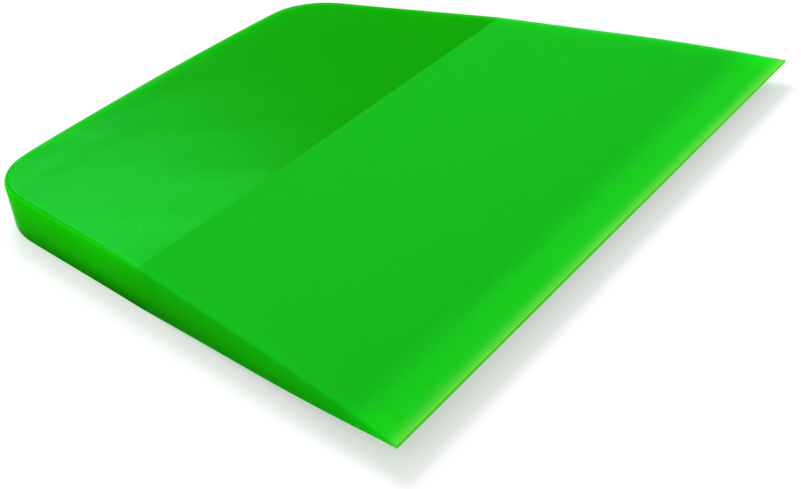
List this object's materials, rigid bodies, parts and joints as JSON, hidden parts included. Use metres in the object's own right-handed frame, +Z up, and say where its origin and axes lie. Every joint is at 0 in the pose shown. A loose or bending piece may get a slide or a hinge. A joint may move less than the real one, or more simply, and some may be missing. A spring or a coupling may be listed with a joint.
{
  "type": "squeegee applicator",
  "caption": "Flared solid squeegee blade: a parallel-faced grip zone that tapers on both faces to a thin straight edge, for smoothing film and vinyl.",
  "frame": {"origin": "middle of the outline seen from above, on the plane of the grip zone's underside", "axes": "+X from the rear edge to the working edge, +Y along the working edge, +Z up, square to the flat faces of the grip zone"},
  "size_m": [0.081, 0.125, 0.006],
  "materials": {
    "green_polyurethane": "satin, translucent bright green, ground faces"
  },
  "bodies": {
    "root": {"squeegee_blade": "green_polyurethane"}
  },
  "joints": []
}
